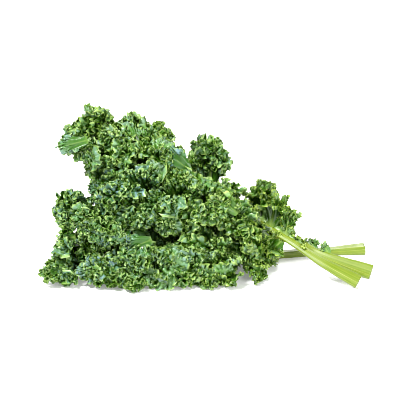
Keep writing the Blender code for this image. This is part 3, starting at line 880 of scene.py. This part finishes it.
def blade_material(name):
    """Dark waxy green with a blue bloom, light margins that are partly painted highlight, pale
    ribs, and painted shade deep in the lobes and between folds.
    """
    n = Nodes(name)
    look = n.add("VertexColor", layer_name="leaf").outputs["Color"]
    margin, pale, warmth = n.add("SeparateColor", [(0, look)]).outputs[:3]
    place = n.add("TexCoord").outputs["Object"]
    mottle = n.noise(place, MOTTLE_SCALE, 3.0)
    fine = n.noise(place, FINE_SCALE, 4.0)
    edge = n.spread(margin, *EDGE)
    # Painted shade deep in a lobe and, in part, painted highlight on its margin, both set by
    # closeness to the margin
    body = n.ramp(margin, BLADE_COLOURS_SHADE_AND_HIGHLIGHT)
    bloom = n.mix(n.spread(mottle, 0.4, 0.6, 0.0, 0.9), body, n.tinted(body, BLUE_TINT))
    bloom = n.mix(edge, bloom, body)
    warm = n.mix(n.spread(warmth, 0.0, 1.2, 0.0, 0.75), bloom, n.tinted(bloom, YELLOW_TINT))
    cool = n.mix(edge, n.tinted(warm, COOL_TINT), warm)
    colour = n.mix(n.spread(warmth, 0.0, -0.5), warm, cool)
    colour = n.mix(n.spread(pale, 0.2, 1.0, 0.0, 0.75), colour, RIB_COLOUR)
    colour = n.mix(n.spread(fine, 0.38, 0.68, 0.0, 0.4), colour, n.tinted(colour, SPECK_TINT))
    # Painted shade: the colour darker and more saturated where other sheets are near, between folds
    # and deep in the bunch
    painted_shade_ao = n.add("AmbientOcclusion", [("Distance", PAINTED_SHADE_M)],
                    samples=PAINTED_SHADE_SAMPLES, only_local=False).outputs["AO"]
    deep = n.tinted(colour, PAINTED_SHADE_TINT)
    colour = n.mix(n.spread(painted_shade_ao, 0.15, 0.6, 1.0, 0.0), colour, deep)
    n.to("Base Color", colour)
    n.to("Roughness", n.spread(mottle, 0.3, 0.7, 0.24, 0.42))
    n.shader.inputs["Specular IOR Level"].default_value = BLADE_SPECULAR
    n.bump(fine, 0.35)
    glow = n.add("BsdfTranslucent", [("Color", n.tinted(colour, GLOW_TINT))]).outputs[0]
    both = n.add("MixShader", [(0, BLADE_THROUGH), (1, n.shader.outputs[0]), (2, glow)])
    n.tree.links.new(both.outputs[0], n.output.inputs["Surface"])
    return n.material


# A stem's colours, from its green lines to its pale ones
STEM_COLOURS = (
    (0.3, (0.095, 0.155, 0.003)), (0.5, (0.135, 0.198, 0.007)), (0.62, (0.175, 0.225, 0.015)),
    (0.7, (0.32, 0.34, 0.11)))
STEM_LINES = (26.0, 3.0, 1.0)
BLOTCH_SCALE, BLOTCH_COLOUR = 60.0, (0.165, 0.215, 0.015, 1.0)
CUT_COLOUR = (0.20, 0.25, 0.04, 1.0)


def stem_material(name):
    """Pale green with fine lines along the stem, soft blotches, and a lighter cut end."""
    n = Nodes(name)
    look = n.add("VertexColor", layer_name="leaf").outputs["Color"]
    cut = n.add("SeparateColor", [(0, look)]).outputs[0]
    uv = n.add("UVMap", uv_map="blade").outputs[0]
    along = n.add("Mapping", [("Vector", uv), ("Scale", STEM_LINES)]).outputs[0]
    lines = n.noise(along, 1.0, 3.0)
    blotch = n.noise(n.add("TexCoord").outputs["Object"], BLOTCH_SCALE, 3.0)
    body = n.ramp(lines, STEM_COLOURS)
    body = n.mix(n.spread(blotch, 0.4, 0.7, 0.0, 0.3), body, BLOTCH_COLOUR)
    n.to("Base Color", n.mix(cut, body, CUT_COLOUR))
    n.to("Roughness", n.spread(blotch, 0.3, 0.7, 0.34, 0.5))
    n.bump(lines, 0.3)
    return n.material


# The floor: a wide pale square just under the bunch, which glows more away from it
FLOOR_REACH, FLOOR_DROP = 6.0, 0.0002
FLOOR_TONES = ((0.0, (0.86, 0.86, 0.86)), (1.0, (0.9, 0.9, 0.9)))
FLOOR_ROUGHNESS = 0.35
GLOW_AT, GLOW = (0.1, 0.7), (0.22, 0.7)
WHITE = (1.0, 1.0, 1.0, 1.0)


def add_floor():
    n = Nodes("floor")
    place = n.add("TexCoord").outputs["Object"]
    n.to("Base Color", n.ramp(n.noise(place, 3.0, 4.0), FLOOR_TONES))
    n.shader.inputs["Roughness"].default_value = FLOOR_ROUGHNESS
    n.shader.inputs["Emission Color"].default_value = WHITE
    far_off = n.add("VectorMath", [(0, place)], operation="LENGTH").outputs["Value"]
    n.to("Emission Strength", n.spread(far_off, *GLOW_AT, *GLOW))
    mesh = bpy.data.meshes.new("floor")
    corners = ((-1, -1), (1, -1), (1, 1), (-1, 1))
    mesh.from_pydata([(x * FLOOR_REACH, y * FLOOR_REACH, 0) for x, y in corners],
                     [], [(0, 1, 2, 3)])
    mesh.materials.append(n.material)
    floor = bpy.data.objects.new("floor", mesh)
    floor.location.z = -FLOOR_DROP
    bpy.context.scene.collection.objects.link(floor)


# Soft studio lights: place, size, power
LIGHTS = {
    "key": ((-0.7, -0.8, 1.5), 0.45, 65),
    "fill": ((1.1, -1.2, 0.7), 1.0, 33),
    "back": ((0.3, 1.3, 1.2), 0.8, 20),
}
LIT_POINT = (0.0, 0.0, 0.06)
WORLD_STRENGTH = 0.27


def add_light(name, place, size, power):
    """A square light turned to the bunch."""
    light = bpy.data.lights.new(name, "AREA")
    light.shape = "SQUARE"
    light.size = size
    light.energy = power
    lamp = bpy.data.objects.new(name, light)
    lamp.location = place
    lamp.rotation_mode = "QUATERNION"
    lamp.rotation_quaternion = (Vector(LIT_POINT) - Vector(place)).to_track_quat("-Z", "Y")
    bpy.context.scene.collection.objects.link(lamp)


def add_world():
    """Even white light from all around."""
    world = bpy.data.worlds.new("studio")
    world.use_nodes = True
    background = world.node_tree.nodes["Background"]
    background.inputs["Color"].default_value = WHITE
    background.inputs["Strength"].default_value = WORLD_STRENGTH
    bpy.context.scene.world = world


# The camera, as in the photo: it looks down a little, and its picture is one millimetre a pixel
ELEVATION, DISTANCE, VIEW_WIDTH = math.radians(20), 1.7, 0.4
VIEW_POINT, VIEW_RAISED = (-0.004, -0.07, 0), 0.090
SENSOR_MM = 36


def add_camera():
    """The scene's camera, level at its sides."""
    camera = bpy.data.cameras.new("camera")
    camera.sensor_width = SENSOR_MM
    camera.lens = SENSOR_MM * DISTANCE / VIEW_WIDTH
    up = Vector((0, math.sin(ELEVATION), math.cos(ELEVATION)))
    back = Vector((0, -math.cos(ELEVATION), math.sin(ELEVATION)))
    centre = Vector(VIEW_POINT) + up * VIEW_RAISED + Vector(SHIFT_MM * MM)
    eye = bpy.data.objects.new("camera", camera)
    eye.location = centre + back * DISTANCE
    eye.rotation_mode = "QUATERNION"
    eye.rotation_quaternion = (-back).to_track_quat("-Z", "Y")
    bpy.context.scene.collection.objects.link(eye)
    bpy.context.scene.camera = eye


# The photo's white is plain, and its grain is fine
VIEW_TRANSFORM, FILTER_PIXELS = "Standard", 0.9

all_leaves = [Leaf(name, facts) for name, facts in LEAVES.items()]
stem_look = stem_material("kale_stem")
blade_look = blade_material("kale_blade")
for kale_leaf in all_leaves:
    shared_draw = np.random.default_rng(STEM_SEED + kale_leaf.facts["seed"])
    stem(kale_leaf, stem_look, shared_draw)
    blade(kale_leaf, all_leaves, blade_look, shared_draw)
    leaflets(kale_leaf, all_leaves, blade_look, shared_draw)

add_floor()
add_camera()
add_world()
for light_name, light_facts in LIGHTS.items():
    add_light(light_name, *light_facts)
bpy.context.scene.view_settings.view_transform = VIEW_TRANSFORM
bpy.context.scene.cycles.filter_width = FILTER_PIXELS
